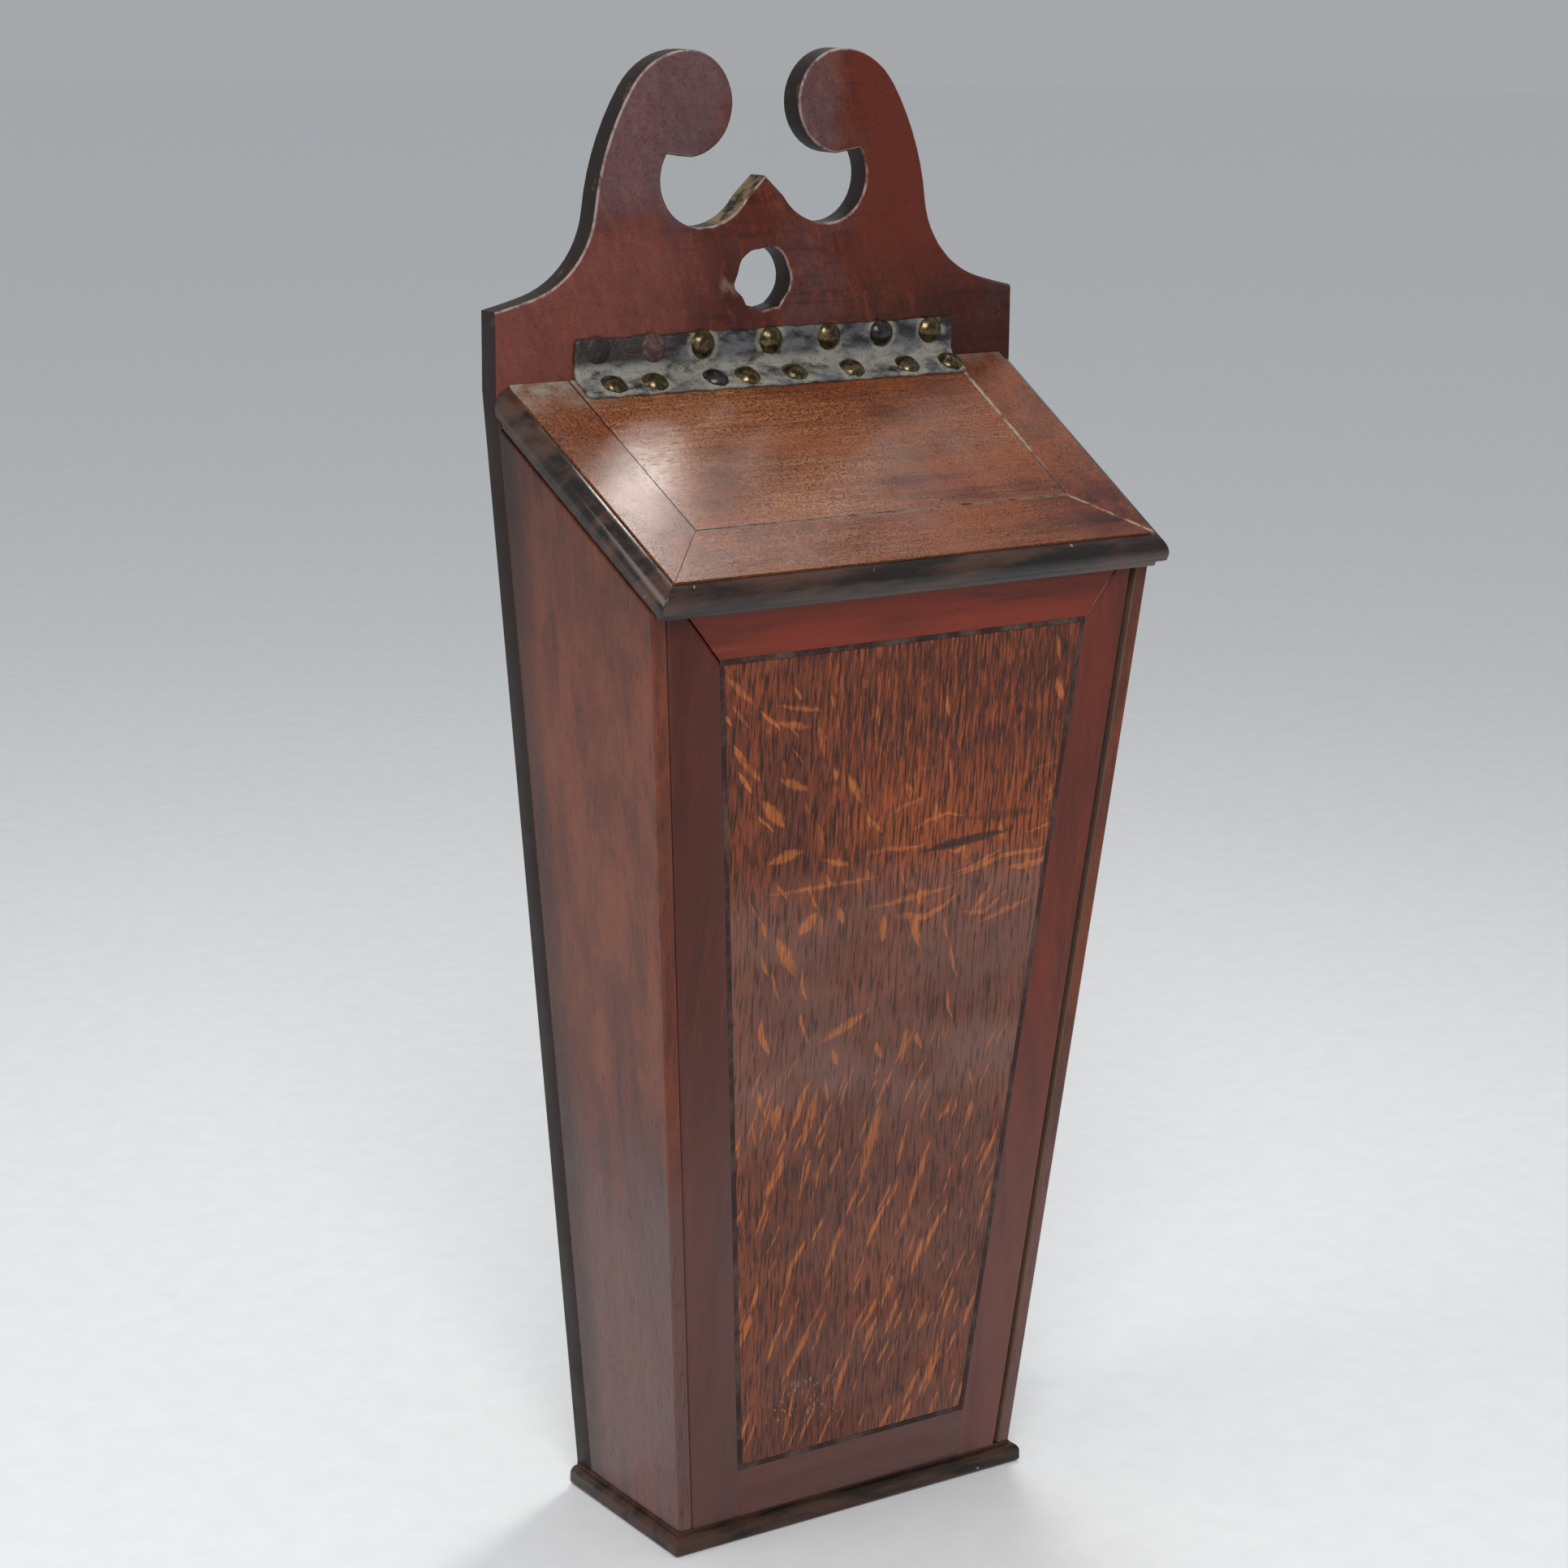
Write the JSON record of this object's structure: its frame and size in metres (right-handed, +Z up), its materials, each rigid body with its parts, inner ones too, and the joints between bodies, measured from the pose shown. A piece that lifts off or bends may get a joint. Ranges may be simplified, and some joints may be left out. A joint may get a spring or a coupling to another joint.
{
  "type": "wall-mounted candle box",
  "caption": "Tapering mahogany wall box for candles, with an oak front, a pierced scroll crest to hang it by, and a sloping lid on a tacked leather hinge.",
  "frame": {"origin": "middle of the rear bottom edge: on the wall plane, at the level of the underside of the base, midway between the sides", "axes": "+X to the right seen from the front, +Y towards the wall, +Z up"},
  "size_m": [0.2094, 0.1061, 0.5],
  "materials": {
    "mahogany": "satin",
    "dark_mahogany": "satin",
    "oak": "satin",
    "hinge_leather": "matte",
    "brass": "satin",
    "iron": "matte"
  },
  "bodies": {
    "case": {"backboard": "mahogany", "side_left": "mahogany", "side_right": "mahogany", "front_board": "oak", "front_banding_top": "mahogany", "front_banding_left": "mahogany", "front_banding_right": "mahogany", "front_banding_bottom": "mahogany", "front_stringing": "dark_mahogany", "base_board": "dark_mahogany", "hinge_leather_back": "hinge_leather", "tacks_back": "brass", "tacks_back_worn": "iron", "back_nails": "iron", "base_nails": "iron"},
    "lid": {"lid_board": "mahogany", "lid_banding_left": "mahogany", "lid_banding_right": "mahogany", "lid_banding_front": "mahogany", "lid_moulding_left": "dark_mahogany", "lid_moulding_right": "dark_mahogany", "lid_moulding_front": "dark_mahogany", "hinge_leather_lid": "hinge_leather", "tacks_lid": "brass"}
  },
  "joints": [
    {"name": "lid_hinge", "type": "hinge", "parent": "case", "child": "lid", "pos_m": [0, -0.0115, 0.39569], "axis": [-1, 0, 0], "range_deg": [0, 75]}
  ]
}
